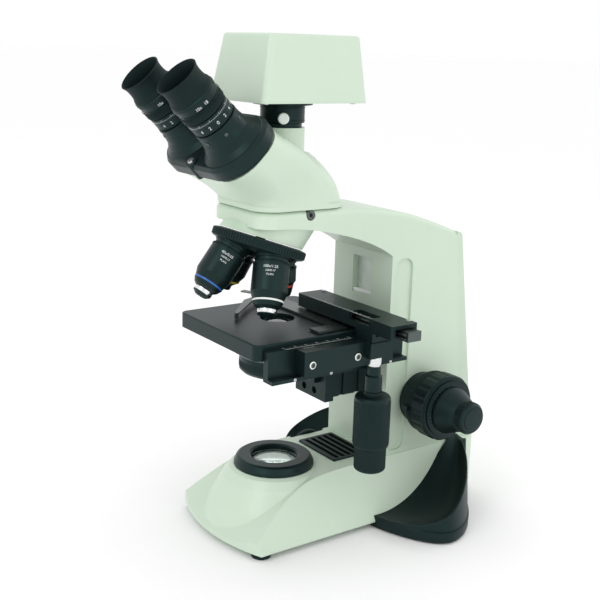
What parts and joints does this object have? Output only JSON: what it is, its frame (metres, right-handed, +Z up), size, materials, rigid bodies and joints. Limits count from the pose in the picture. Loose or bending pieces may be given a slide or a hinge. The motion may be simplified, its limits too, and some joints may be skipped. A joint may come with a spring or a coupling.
{
  "type": "microscope",
  "caption": "Upright laboratory microscope with inclined binocular tubes, mechanical stage, revolving nosepiece, coaxial focus and a camera box on its photo port.",
  "frame": {"origin": "middle of the footprint at the height of the feet", "axes": "+Z up, -Y towards the user, +X to the user's right; the optical axis is vertical at y = -36.55 mm"},
  "size_m": [0.23, 0.3069, 0.3944],
  "materials": {
    "black_paint": "satin black enamel",
    "black_plastic": "fine texture",
    "board": "solder mask",
    "cover_plastic": "fine texture",
    "dark_steel": "oxidised",
    "glass": "coated",
    "rubber": "matt",
    "steel": "ground",
    "white_paint": "satin orange-peel enamel",
    "white_plastic": "smooth"
  },
  "bodies": {
    "stand": {"base_casting": "white_paint", "bottom_plate": "steel", "rubber_feet": "rubber", "side_pods": "black_plastic", "vent_grille": "black_plastic", "field_lens_collar": "black_paint", "field_lens": "glass", "lamp_optics": "glass", "lamp_holder": "black_plastic", "lamp_bulb": "glass", "power_inlet": "black_plastic", "limb_casting": "white_paint", "rear_cover": "cover_plastic", "focus_bushings": "black_paint", "focus_guide": "steel", "nosepiece_mount": "white_paint"},
    "switch": {"power_switch": "black_plastic"},
    "brightness": {"intensity_wheel": "black_plastic"},
    "tension": {"tension_ring": "black_plastic"},
    "coarse": {"coarse_shaft": "steel", "coarse_knobs": "black_plastic"},
    "fine": {"fine_knobs": "black_plastic"},
    "stage": {"focus_slide": "steel", "stage_bracket": "black_paint", "bracket_screws": "dark_steel", "stage_plate": "black_paint", "stage_rail": "black_paint"},
    "carriage": {"y_carriage": "black_paint", "x_guide": "black_paint"},
    "y_knob": {"stage_y_knob": "black_plastic"},
    "x_knob": {"stage_x_knob": "black_plastic"},
    "holder": {"slide_holder": "dark_steel"},
    "finger": {"holder_finger": "dark_steel"},
    "condenser": {"condenser_carrier": "black_paint", "condenser_body": "black_paint", "condenser_lens": "glass"},
    "iris": {"iris_ring": "black_paint"},
    "condenser_drive": {"condenser_knob": "black_plastic"},
    "nosepiece": {"nosepiece_disc": "black_paint", "objective_4x": "black_paint", "objective_10x": "black_paint", "objective_40x": "black_paint", "objective_100x": "black_paint"},
    "head": {"head_body": "white_paint", "beam_prism": "glass", "flange_plate": "black_paint", "camera_adapter": "black_paint"},
    "head_lock": {"head_lock_screw": "dark_steel"},
    "camera": {"camera_housing": "white_paint", "camera_floor": "cover_plastic", "camera_board": "board"},
    "camera_lock": {"adapter_screw": "white_plastic"},
    "tube_left": {"eye_tube_left": "black_paint", "eyepiece_left": "black_paint", "eyecup_left": "rubber"},
    "tube_right": {"eye_tube_right": "black_paint", "eyepiece_right": "black_paint", "eyecup_right": "rubber"},
    "diopter_left": {"diopter_ring_left": "black_paint"},
    "diopter_right": {"diopter_ring_right": "black_paint"}
  },
  "joints": [
    {"name": "switch_rock", "type": "hinge", "parent": "stand", "child": "switch", "pos_m": [0.016, 0.14345, 0.027], "axis": [1, 0, 0], "range_deg": [-4, 4]},
    {"name": "brightness_turn", "type": "hinge", "parent": "stand", "child": "brightness", "pos_m": [-0.039, 0.02495, 0.0355], "axis": [1, 0, 0], "range_deg": [-130, 130]},
    {"name": "tension_turn", "type": "hinge", "parent": "stand", "child": "tension", "pos_m": [0.053, 0.08645, 0.098], "axis": [1, 0, 0], "range_deg": [-30, 30]},
    {"name": "coarse_turn", "type": "hinge", "parent": "stand", "child": "coarse", "pos_m": [0, 0.08645, 0.098], "axis": [1, 0, 0], "range_deg": [-19.1, 210.1]},
    {"name": "fine_turn", "type": "hinge", "parent": "stand", "child": "fine", "pos_m": [0, 0.08645, 0.098], "axis": [1, 0, 0], "continuous": true},
    {"name": "stage_lift", "type": "slide", "parent": "stand", "child": "stage", "axis": [0, 0, 1], "range_m": [-0.022, 0.002]},
    {"name": "stage_y", "type": "slide", "parent": "stage", "child": "carriage", "axis": [0, 1, 0], "range_m": [-0.024, 0.006]},
    {"name": "y_knob_turn", "type": "hinge", "parent": "carriage", "child": "y_knob", "pos_m": [0.079, 0.00045, 0.1], "axis": [0, 0, 1], "range_deg": [-150, 150]},
    {"name": "stage_x", "type": "slide", "parent": "carriage", "child": "holder", "axis": [1, 0, 0], "range_m": [-0.03, 0.015]},
    {"name": "x_knob_turn", "type": "hinge", "parent": "carriage", "child": "x_knob", "pos_m": [0.079, 0.00045, 0.08], "axis": [0, 0, 1], "range_deg": [-200, 200]},
    {"name": "finger_open", "type": "hinge", "parent": "holder", "child": "finger", "pos_m": [-0.05, -0.01405, 0.178], "axis": [0, 0, 1], "range_deg": [-30, 0], "stiffness_Nm_per_rad": 0.02},
    {"name": "condenser_lift", "type": "slide", "parent": "stage", "child": "condenser", "axis": [0, 0, 1], "range_m": [-0.012, 0]},
    {"name": "condenser_turn", "type": "hinge", "parent": "stage", "child": "condenser_drive", "pos_m": [-0.02, 0.00345, 0.128], "axis": [1, 0, 0], "range_deg": [0, 170]},
    {"name": "iris_turn", "type": "hinge", "parent": "condenser", "child": "iris", "pos_m": [0, -0.03655, 0.14], "axis": [0, 0, 1], "range_deg": [-40, 40]},
    {"name": "nosepiece_turn", "type": "hinge", "parent": "stand", "child": "nosepiece", "pos_m": [0, -0.03655, 0.292], "axis": [0, -0.3256, -0.9455], "continuous": true},
    {"name": "head_turn", "type": "hinge", "parent": "stand", "child": "head", "pos_m": [0, -0.03655, 0.267], "axis": [0, 0, 1], "range_deg": [-180, 180]},
    {"name": "head_lock_turn", "type": "hinge", "parent": "stand", "child": "head_lock", "pos_m": [0.03, -0.03425, 0.2632], "axis": [1, 0, 0], "range_deg": [0, 360]},
    {"name": "camera_turn", "type": "hinge", "parent": "head", "child": "camera", "pos_m": [0, -0.03655, 0.345], "axis": [0, 0, 1], "range_deg": [-60, 60]},
    {"name": "camera_lock_turn", "type": "hinge", "parent": "head", "child": "camera_lock", "pos_m": [0, -0.03655, 0.3336], "axis": [0.848, -0.5299, 0], "range_deg": [0, 360]},
    {"name": "tube_right_swing", "type": "hinge", "parent": "head", "child": "tube_right", "pos_m": [0, -0.11082, 0.29803], "axis": [0, 0.7071, -0.7071], "range_deg": [0, 18]},
    {"name": "tube_left_swing", "type": "hinge", "parent": "head", "child": "tube_left", "pos_m": [0, -0.11082, 0.29803], "axis": [0, -0.7071, 0.7071], "range_deg": [0, 18]},
    {"name": "diopter_right_turn", "type": "hinge", "parent": "tube_right", "child": "diopter_right", "pos_m": [0.0277, -0.11648, 0.33763], "axis": [0, -0.7071, 0.7071], "range_deg": [-120, 120]},
    {"name": "diopter_left_turn", "type": "hinge", "parent": "tube_left", "child": "diopter_left", "pos_m": [-0.0277, -0.11648, 0.33763], "axis": [0, -0.7071, 0.7071], "range_deg": [-120, 120]}
  ],
  "couplings": [
    {"joint": "coarse_turn", "follows": "stage_lift", "rad_per_m": -166.67},
    {"joint": "y_knob_turn", "follows": "stage_y", "rad_per_m": -100},
    {"joint": "x_knob_turn", "follows": "stage_x", "rad_per_m": -110},
    {"joint": "condenser_turn", "follows": "condenser_lift", "rad_per_m": -200},
    {"joint": "tube_left_swing", "follows": "tube_right_swing", "ratio": 1}
  ]
}
